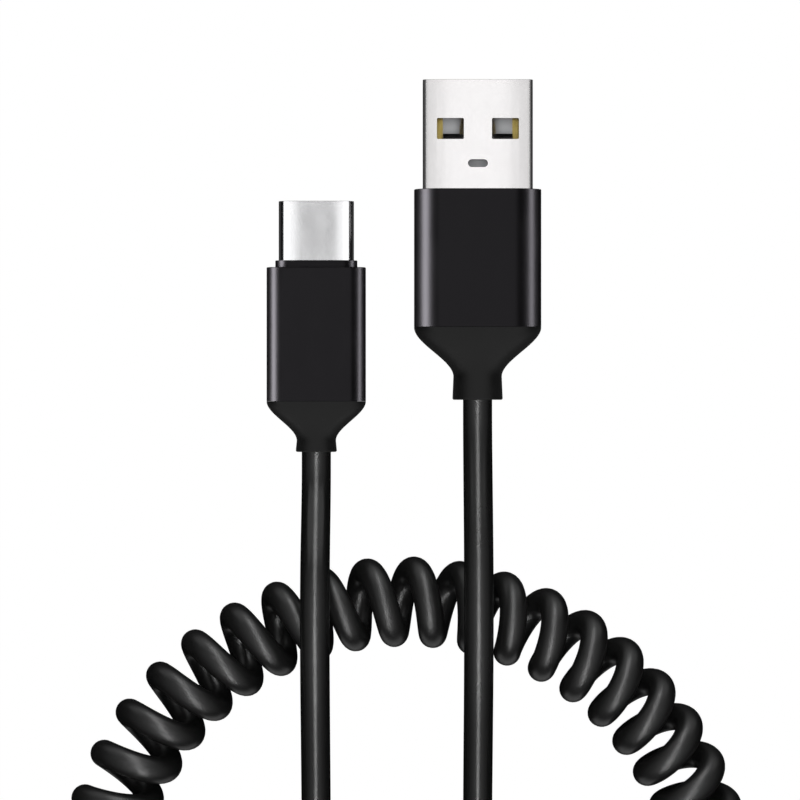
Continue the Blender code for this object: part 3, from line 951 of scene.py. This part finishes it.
@dataclass
class CurlyCord:
    """One cord from plug to plug: two leads, and between them the coil in its arch with a tail each side.

    pitch_angle is how many degrees of the arch one turn takes at its top, and pitch_growth the share by
    which the turns follow faster with each degree to the right. lean is how far a turn's top leans over to
    +X and +Y, as a share of its height over the coil's axis, and the lean fades from lean_full_angle on.
    """

    NAME = "curly_cord"
    STRAIGHT_NAME = "cord_straight"
    WOUND_NAME = "cord_wound"

    diameter: float = CORD_DIAMETER
    wound_diameter: float = 0.0030
    sides: int = 28
    spacing: float = 0.00046
    fine: float = 0.0001
    arch_step: float = 0.000025
    tail_step: float = 0.00005
    opening_step: float = 0.00001
    winding_radius: float = 0.00335
    pitch_angle: float = 7.91
    pitch_growth: float = 0.000547
    top_phase: float = 4.82
    lean: tuple[float, float] = (0.096, -0.20)
    lean_full_angle: float = 70.0
    shortest_opening: float = 0.012
    floor_phase: float = -math.pi / 2
    phase_slack: float = 0.005
    in_relief: float = 0.0022
    draw_length: float = 0.012

    def lead(self, route: Sequence[Sequence[float]]) -> np.ndarray:
        """The natural cubic spline through a route, straight at both ends and never below the floor.

        Args:
            route: The points that it goes through.

        Returns:
            Points on it, closer together than the rings.
        """
        knots = np.array(route)
        chords = np.linalg.norm(np.diff(knots, axis=0), axis=1)
        places = running_total(chords)
        count = len(knots)
        system, right = np.eye(count), np.zeros((count, 3))
        for i in range(1, count - 1):
            before, after = chords[i - 1], chords[i]
            system[i, i - 1 : i + 2] = before, 2 * (before + after), after
            right[i] = 6 * ((knots[i + 1] - knots[i]) / after - (knots[i] - knots[i - 1]) / before)
        bends = np.linalg.solve(system, right)
        along = np.arange(places[1], places[-2], self.fine)
        i = np.clip(np.searchsorted(places, along, side="right") - 1, 0, count - 2)
        chord = chords[i][:, None]
        back = (places[i + 1] - along)[:, None] / chord
        ahead = 1 - back
        line = back * knots[i] + ahead * knots[i + 1]
        bow = (back**3 - back) * bends[i] + (ahead**3 - ahead) * bends[i + 1]
        curve = np.concatenate([knots[:1], line + bow * chord**2 / 6, knots[-2:]])
        curve[:, 2] = np.maximum(curve[:, 2], LEAD_Z)
        return curve

    def phase(self, angle: np.ndarray) -> np.ndarray:
        """The winding's phase in radians at an angle in degrees clockwise from the arch's top."""
        grown = angle + self.pitch_growth * angle**2 / 2
        return self.top_phase + grown * 2 * math.pi / self.pitch_angle

    def on_axis(self, along: np.ndarray, phase: np.ndarray) -> np.ndarray:
        """Winds the cord round the coil's axis.

        Args:
            along: How far along the axis each point is from the arch's top, positive to the right.
            phase: The winding's phase there.

        Returns:
            The centreline's points.
        """
        limit = math.radians(ARCH_END_ANGLE)
        angle = np.clip(along / ARCH_RADIUS, -limit, limit)
        tail = along - angle * ARCH_RADIUS
        outward = np.stack([np.sin(angle), np.cos(angle), 0 * angle], 1)
        forward = np.stack([np.cos(angle), -np.sin(angle), 0 * angle], 1)
        centre = np.array([ARCH_CENTRE_X, ARCH_CENTRE_Y, self.winding_radius + self.wound_diameter / 2])
        out = (ARCH_RADIUS + self.winding_radius * np.cos(phase))[:, None]
        up = self.winding_radius * np.sin(phase)
        full = math.radians(self.lean_full_angle)
        held = 1 - smoothstep((np.abs(angle) - full) / (limit - full))
        made = centre + out * outward + tail[:, None] * forward
        made[:, 0] += self.lean[0] * held * up
        made[:, 1] += self.lean[1] * held * up
        made[:, 2] += up
        return made

    def opening_turn(self, length: float, slope: float) -> tuple[np.ndarray, np.ndarray]:
        """How the winding opens out to a straight lead.

        Args:
            length: The length of cord that it takes.
            slope: The winding's own slope to the coil's round, in radians.

        Returns:
            The way along the axis and the turn, at steps from the winding to the lead.
        """
        steps = np.arange(0, length + self.fine, self.fine)
        rise = slope + (math.pi / 2 - slope) * smoothstep(steps / length)
        along = running_total(np.sin(rise[:-1]) * self.fine)
        turn = running_total(np.cos(rise[:-1]) * self.fine / self.winding_radius)
        return along, turn

    def tail(self, side: int) -> tuple[np.ndarray, np.ndarray]:
        """Winds one tail from the arch to the lead, so that it ends on the floor under the coil's axis.

        Args:
            side: -1 for the left tail and 1 for the right one.

        Returns:
            The way along the axis and the turn, both counted from the arch's end and positive.
        """
        end = self.phase(np.array([ARCH_END_ANGLE * side]))[0]
        rate = (1 + self.pitch_growth * ARCH_END_ANGLE * side) * 360 / self.pitch_angle / ARCH_RADIUS
        slope = math.atan(1 / (rate * self.winding_radius))
        length = ARCH_CENTRE_Y - COIL_END_Y
        for opening in np.arange(self.shortest_opening, length, self.opening_step):
            along, turn = self.opening_turn(opening, slope)
            wound = length - along[-1]
            last = end + side * (wound * rate + turn[-1])
            if abs(math.remainder(last - self.floor_phase, 2 * math.pi)) < self.phase_slack:
                break
        winding = np.arange(self.fine, wound, self.tail_step)
        along, turn = wound + along, wound * rate + turn
        return np.concatenate([winding, along]), np.concatenate([winding * rate, turn])

    def centreline(self) -> tuple[np.ndarray, np.ndarray]:
        """The whole cord, from inside the USB-C relief to inside the USB-A relief.

        Returns:
            Evenly spaced points, and for each whether it is in the leads, 0, or in the coil, 1.
        """
        limit = ARCH_RADIUS * math.radians(ARCH_END_ANGLE)
        arch = np.arange(-limit, limit, self.arch_step)
        left_along, left_turn = self.tail(-1)
        right_along, right_turn = self.tail(1)
        ends = self.phase(np.array([-ARCH_END_ANGLE, ARCH_END_ANGLE]))
        coil = np.concatenate(
            [
                self.on_axis(-limit - left_along[::-1], ends[0] - left_turn[::-1]),
                self.on_axis(arch, self.phase(np.degrees(arch / ARCH_RADIUS))),
                self.on_axis(limit + right_along, ends[1] + right_turn),
            ]
        )
        lead_c, lead_a = self.lead(LEAD_C_ROUTE), self.lead(LEAD_A_ROUTE)
        inside = np.array([[0, self.in_relief, 0]])
        points = np.concatenate([lead_c[:1] + inside, lead_c, coil, lead_a[::-1], lead_a[:1] + inside])
        places = way_along(points)
        first, last = len(lead_c) + 1, len(lead_c) + len(coil)
        drawn = smoothstep(np.minimum(places - places[first], places[last] - places) / self.draw_length)
        thicker = (1 - drawn[first : last + 1]) * (self.diameter - self.wound_diameter)
        points[first : last + 1, 2] += thicker / 2
        even = np.linspace(0, places[-1], round(places[-1] / self.spacing) + 1)
        line = np.stack([np.interp(even, places, points[:, k]) for k in range(3)], 1)
        return line, np.interp(even, places, drawn)

    def across(self, line: np.ndarray) -> tuple[np.ndarray, np.ndarray]:
        """Two directions square to the line at each point, which turn as little as they can.

        Args:
            line: The centreline.

        Returns:
            The two directions at each point.
        """
        ahead = np.gradient(line, axis=0)
        ahead /= np.linalg.norm(ahead, axis=1)[:, None]
        first = np.zeros_like(line)
        side = np.array([0.0, 0.0, 1.0])
        for i, way in enumerate(ahead):
            side = side - way * (side @ way)
            side /= np.linalg.norm(side)
            first[i] = side
        return first, np.cross(ahead, first)

    def circle(self) -> tuple[np.ndarray, np.ndarray]:
        """The cosines and sines of a ring's points."""
        angles = 2 * math.pi * np.arange(self.sides) / self.sides
        return np.cos(angles), np.sin(angles)

    def tube(self, line: np.ndarray, radius: np.ndarray) -> bpy.types.Mesh:
        """Skins the cord ring by ring.

        Args:
            line: The centreline.
            radius: The cord's radius at each of its points, as a column.

        Returns:
            The closed mesh.
        """
        first, second = self.across(line)
        cos, sin = self.circle()
        out = cos[None, :, None] * first[:, None] + sin[None, :, None] * second[:, None]
        points = (line[:, None] + radius[:, :, None] * out).reshape(-1, 3)
        rings = np.arange(len(line) - 1)[:, None] * self.sides
        near = np.arange(self.sides)[None]
        after = (near + 1) % self.sides
        further = rings + self.sides
        faces = np.stack([rings + near, rings + after, further + after, further + near], 2)
        last = (len(line) - 1) * self.sides
        ends = [list(range(self.sides))[::-1], list(range(last, last + self.sides))]
        mesh = bpy.data.meshes.new(self.NAME)
        mesh.from_pydata(points.tolist(), [], faces.reshape(-1, 4).tolist() + ends)
        mesh.shade_smooth()
        mesh.set_sharp_from_angle(angle=SHARP_ANGLE)
        return mesh

    def store(self, mesh: bpy.types.Mesh, steps: np.ndarray, radius: np.ndarray, wound: np.ndarray) -> None:
        """Stores where each point would be if the cord lay straight, and whether it is in the coil.

        Args:
            mesh: The tube.
            steps: How far along the cord each ring is.
            radius: The cord's radius there, as a column.
            wound: 0 there in the leads and 1 in the coil.
        """
        cos, sin = self.circle()
        straight = np.empty((len(steps), self.sides, 3), np.float32)
        straight[:, :, 0], straight[:, :, 1] = radius * cos, radius * sin
        straight[:, :, 2] = steps[:, None]
        stored = mesh.attributes.new(self.STRAIGHT_NAME, "FLOAT_VECTOR", "POINT")
        stored.data.foreach_set("vector", straight.ravel())
        stored = mesh.attributes.new(self.WOUND_NAME, "FLOAT", "POINT")
        stored.data.foreach_set("value", np.repeat(wound, self.sides).astype(np.float32))

    def build(self, finish: bpy.types.Material) -> bpy.types.Object:
        """Builds the cord.

        Args:
            finish: Its material.

        Returns:
            The piece.
        """
        line, wound = self.centreline()
        steps = way_along(line)
        thickness = self.diameter + (self.wound_diameter - self.diameter) * wound
        radius = (thickness / 2)[:, None]
        mesh = self.tube(line, radius)
        self.store(mesh, steps, radius, wound)
        mesh.materials.append(finish)
        piece = bpy.data.objects.new(self.NAME, mesh)
        bpy.context.scene.collection.objects.link(piece)
        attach(piece, BODY)
        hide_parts("lead_usb_c", "coil", "lead_usb_a")
        LOG.info("%s: %s, %.3f m long, %d rings", self.NAME, finish.name, steps[-1], len(line))
        return piece


# The studio


class Group(Enum):
    """The pieces that one set of lights is for, or that shade them."""

    CORD = "cord"
    RELIEFS = "reliefs"
    A_HOUSING = "usb_a_housing"
    C_HOUSING = "usb_c_housing"
    A_SHELL = "usb_a_shell"
    C_SHELL = "usb_c_shell"
    SHELLS = "both_shells"
    PLUGS = "both_plugs"
    INSERTS = "inserts"
    CONTACTS = "contacts"


# The pieces of each group
Groups = Mapping[Group, Sequence[bpy.types.Object]]
# What the walls before and behind the plugs and the glow from the floor shine on
PLUG_GROUPS = (Group.SHELLS, Group.A_HOUSING, Group.C_HOUSING, Group.RELIEFS, Group.INSERTS)


@dataclass(frozen=True)
class Softbox:
    """A soft light that is linked to one group of pieces.

    zenith is its angle from straight up, and azimuth the side that it stands on, clockwise from +Y, both
    in degrees. radiance is how bright its face is. Its own group shades it, and so does shaded_by's.
    """

    name: str
    group: Group
    zenith: float
    azimuth: float
    size: tuple[float, float]
    radiance: float
    target: tuple[float, float, float] = (0.0, 0.0, 0.004)
    distance: float = 0.6
    shaded_by: Group | None = None

    def shine(self, groups: Groups) -> None:
        """Sets the light up, facing its target.

        Args:
            groups: The pieces of each group.
        """
        light = bpy.data.lights.new(self.name, "AREA")
        light.shape = "RECTANGLE"
        light.size, light.size_y = self.size
        light.energy = self.radiance * math.pi * self.size[0] * self.size[1]
        obj = bpy.data.objects.new(self.name, light)
        zenith, azimuth = math.radians(self.zenith), math.radians(self.azimuth)
        level = math.sin(zenith)
        way = Vector((level * math.sin(azimuth), level * math.cos(azimuth), math.cos(zenith)))
        obj.location = Vector(self.target) + self.distance * way
        obj.rotation_mode = "QUATERNION"
        obj.rotation_quaternion = way.to_track_quat("Z", "Y")
        obj.visible_camera = False
        bpy.context.scene.collection.objects.link(obj)
        reached = bpy.data.collections.new(f"lit_by_{self.name}")
        shading = bpy.data.collections.new(f"shading_{self.name}")
        for piece in groups[self.group]:
            reached.objects.link(piece)
            shading.objects.link(piece)
        for piece in groups[self.shaded_by] if self.shaded_by else ():
            shading.objects.link(piece)
        obj.light_linking.receiver_collection = reached
        obj.light_linking.blocker_collection = shading


# The middle of the part of the coil that the leads cross
COIL = (0.0, -0.045, 0.006)
# Where a flat shell sends the camera's rays, from straight above each plug
A_SHELL_AIM = (0.0165, 0.048, 0.0)
C_SHELL_AIM = (-0.0187, 0.0215, 0.0)
# The cord's long strips draw the band of light on the leads, and its wide squares, one over the other,
# fade out to the sides.
SOFTBOXES = (
    Softbox("cord_middle", Group.CORD, 22.0, 180, (0.20, 0.92), 5.9, COIL),
    Softbox("cord_front_strip", Group.CORD, 52.0, 0, (0.20, 0.90), 4.5, COIL),
    Softbox("cord_front_wall", Group.CORD, 90.0, 0, (1.20, 0.50), 0.72, COIL),
    Softbox("cord_rear_wall", Group.CORD, 45.0, 180, (1.00, 0.40), 0.22, COIL),
    Softbox("cord_left_wall", Group.CORD, 78.0, 270, (1.20, 0.25), 0.10, COIL),
    Softbox("cord_right_wall", Group.CORD, 78.0, 90, (1.20, 0.25), 0.10, COIL),
    Softbox("cord_floor_glow", Group.CORD, 124.0, 180, (1.10, 0.40), 0.55, COIL),
    Softbox("cord_wide_1", Group.CORD, 0.0, 180, (0.74, 0.74), 0.30, COIL),
    Softbox("cord_wide_2", Group.CORD, 0.0, 180, (1.34, 1.34), 0.22, COIL),
    Softbox("cord_wide_3", Group.CORD, 0.0, 180, (2.70, 2.70), 0.20, COIL),
    Softbox("cord_wide_4", Group.CORD, 0.0, 180, (6.80, 6.80), 0.10, COIL),
    Softbox("plug_front_wall", Group.PLUGS, 75.0, 0, (1.8, 0.18), 0.50),
    Softbox("plug_rear_wall", Group.PLUGS, 78.0, 180, (1.8, 0.5), 0.55),
    Softbox("plug_floor_glow", Group.PLUGS, 180.0, 0, (5.0, 5.0), 0.05),
    Softbox("relief_overhead", Group.RELIEFS, 0.0, 180, (1.8, 1.8), 0.49),
    Softbox("usb_a_housing_overhead", Group.A_HOUSING, 0.0, 180, (0.3, 0.3), 1.28),
    Softbox("usb_a_housing_left", Group.A_HOUSING, 72.0, 270, (0.9, 0.34), 23.0),
    Softbox("usb_a_housing_right", Group.A_HOUSING, 79.0, 90, (0.9, 0.19), 17.0),
    Softbox("usb_c_housing_overhead", Group.C_HOUSING, 0.0, 180, (0.3, 0.3), 1.20),
    Softbox("usb_c_housing_left", Group.C_HOUSING, 68.0, 270, (0.9, 0.34), 24.0),
    Softbox("usb_c_housing_right", Group.C_HOUSING, 79.0, 90, (0.9, 0.19), 18.0),
    Softbox("usb_a_shell_wide", Group.A_SHELL, 0.0, 180, (1.2, 1.2), 0.82, A_SHELL_AIM),
    Softbox("usb_a_shell_middle", Group.A_SHELL, 0.0, 180, (0.085, 0.9), 0.56, A_SHELL_AIM),
    Softbox("usb_a_shell_left", Group.A_SHELL, 62.0, 270, (0.6, 0.5), 0.20, A_SHELL_AIM),
    Softbox("usb_a_shell_right", Group.A_SHELL, 62.0, 90, (0.6, 0.5), 0.20, A_SHELL_AIM),
    Softbox("usb_c_shell_middle", Group.C_SHELL, 0.0, 180, (0.07, 0.6), 0.35, C_SHELL_AIM),
    Softbox("usb_c_shell_left", Group.C_SHELL, 34.0, 270, (0.6, 0.72), 1.95, C_SHELL_AIM),
    Softbox("usb_c_shell_right", Group.C_SHELL, 34.0, 90, (0.6, 0.72), 1.95, C_SHELL_AIM),
    Softbox("insert_overhead", Group.INSERTS, 0.0, 180, (0.6, 0.6), 3.0, shaded_by=Group.SHELLS),
    Softbox("contact_overhead", Group.CONTACTS, 0.0, 180, (0.5, 0.5), 0.66, shaded_by=Group.SHELLS),
)


@dataclass
class Studio:
    """The white floor and walls, the camera straight above and the soft lights round the cable."""

    camera_at: tuple[float, float, float] = (-0.00042, -0.01463, 0.4903)
    lens_mm: float = 200.0
    sensor_mm: float = 36.0
    nearest: float = 0.01
    furthest: float = 10.0
    floor_half: float = 3.0
    floor_colour: str = "#383838"
    floor_roughness: float = 0.6
    white: str = "#ffffff"
    floor_glow: float = 1.0
    sky: float = 1.0

    def build_camera(self) -> None:
        """The camera looks straight down, with +Y up in the picture."""
        camera = bpy.data.cameras.new("camera")
        camera.lens, camera.sensor_width = self.lens_mm, self.sensor_mm
        camera.clip_start, camera.clip_end = self.nearest, self.furthest
        obj = bpy.data.objects.new("camera", camera)
        obj.location = self.camera_at
        bpy.context.scene.collection.objects.link(obj)
        bpy.context.scene.camera = obj

    def build_floor(self) -> None:
        """A back-lit white acrylic sheet, which shows hardly any shadow and isn't mirrored in the cable."""
        half = self.floor_half
        mesh = bpy.data.meshes.new("floor")
        corners = [(-half, -half, 0), (half, -half, 0), (half, half, 0), (-half, half, 0)]
        mesh.from_pydata(corners, [], [(0, 1, 2, 3)])
        made = bpy.data.materials.new("back_lit_white_acrylic")
        made.use_nodes = True
        shader = made.node_tree.nodes["Principled BSDF"]
        shader.inputs["Base Color"].default_value = linear(self.floor_colour)
        shader.inputs["Roughness"].default_value = self.floor_roughness
        shader.inputs["Emission Color"].default_value = linear(self.white)
        shader.inputs["Emission Strength"].default_value = self.floor_glow
        mesh.materials.append(made)
        floor = bpy.data.objects.new("floor", mesh)
        floor.visible_glossy = False
        bpy.context.scene.collection.objects.link(floor)

    def build_sky(self) -> None:
        """White walls all round, which the camera sees and the cable neither mirrors nor takes light from."""
        world = bpy.data.worlds.new("white_walls")
        bpy.context.scene.world = world
        world.use_nodes = True
        walls = world.node_tree.nodes["Background"]
        walls.inputs["Color"].default_value = linear(self.white)
        walls.inputs["Strength"].default_value = self.sky
        world.cycles_visibility.glossy = False
        world.cycles_visibility.diffuse = False
        bpy.context.scene.view_settings.view_transform = "Standard"

    def light(self, groups: Groups) -> None:
        """Sets up each softbox, and keeps the side-lit housings out of what other pieces mirror.

        Args:
            groups: The pieces of each group.
        """
        for softbox in SOFTBOXES:
            softbox.shine(groups)
        for housing in (*groups[Group.A_HOUSING], *groups[Group.C_HOUSING]):
            housing.visible_glossy = False


def main() -> None:
    """Builds the camera, the floor and the walls, then the cord, the plugs and their lights."""
    logging.basicConfig(level=logging.INFO, format="%(message)s")
    studio = Studio()
    studio.build_camera()
    studio.build_floor()
    studio.build_sky()

    cord = CurlyCord().build(CORD_JACKET.material())
    anodised, relief = ANODISED_HOUSING.material(), MOULDED_RELIEF.material()
    gold = GOLD_BRONZE.material()
    usb_a = UsbAPlug(
        prefix="usb_a",
        at=(A_AXIS_X, A_FRONT_Y, A_AXIS_Z),
        shell=Bar(width=0.0120, height=0.0045, radius=0.0006, crown=0.00008),
        shell_wall=0.0003,
        shell_exposed=0.01193,
        shell_rear=-0.0050,
        side_room=0.00015,
        face_room=0.00065,
        housing_wall=0.0008,
        housing_radius=0.0030,
        housing_length=0.01504,
        cavity_radius=0.0013,
        relief_length=0.00796,
        shoulder_length=0.0054,
        neck_diameter=0.0053,
        end_diameter=0.0055,
    )
    # The slim shell stands 6.5 mm out of its collar and reaches 5.0 mm back into it and the housing.
    usb_c = UsbCPlug(
        prefix="usb_c",
        at=(C_AXIS_X, C_FRONT_Y, C_AXIS_Z),
        shell=Bar(width=0.00825, height=0.0024, radius=0.00119, crown=0.00004),
        shell_wall=0.00025,
        shell_exposed=0.0065 + UsbCPlug.collar_length,
        shell_rear=UsbCPlug.collar_length - 0.0050,
        side_room=0.0005,
        face_room=0.0008,
        housing_wall=0.0008,
        housing_radius=0.0018,
        housing_length=0.01465,
        cavity_radius=0.0010,
        relief_length=0.00556,
        shoulder_length=0.0043,
        neck_diameter=0.0043,
        end_diameter=0.0045,
    )
    contacts = sorted(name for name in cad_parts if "_contact_" in name)
    groups = {
        Group.CORD: [cord],
        Group.RELIEFS: [usb_a.build_relief(relief), usb_c.build_relief(relief)],
        Group.A_HOUSING: [usb_a.build_housing(anodised)],
        Group.C_HOUSING: [usb_c.build_housing(anodised)],
        Group.A_SHELL: [usb_a.build_shell(NICKEL_STEEL.material())],
        Group.C_SHELL: [usb_c.build_shell(DRAWN_STEEL.material())],
        Group.INSERTS: [usb_a.build_insert(GREY_PBT.material()), usb_c.build_insert(BLACK_LCP.material())],
        Group.CONTACTS: [],
    }
    groups[Group.SHELLS] = groups[Group.A_SHELL] + groups[Group.C_SHELL]
    plugs = [pieces for group, pieces in groups.items() if group in PLUG_GROUPS]
    groups[Group.PLUGS] = [piece for pieces in plugs for piece in pieces]
    for plug in (usb_a, usb_c):
        groups[Group.CONTACTS] += plug.gild([name for name in contacts if name.startswith(plug.prefix)], gold)
    studio.light(groups)


if __name__ == "__main__":
    main()
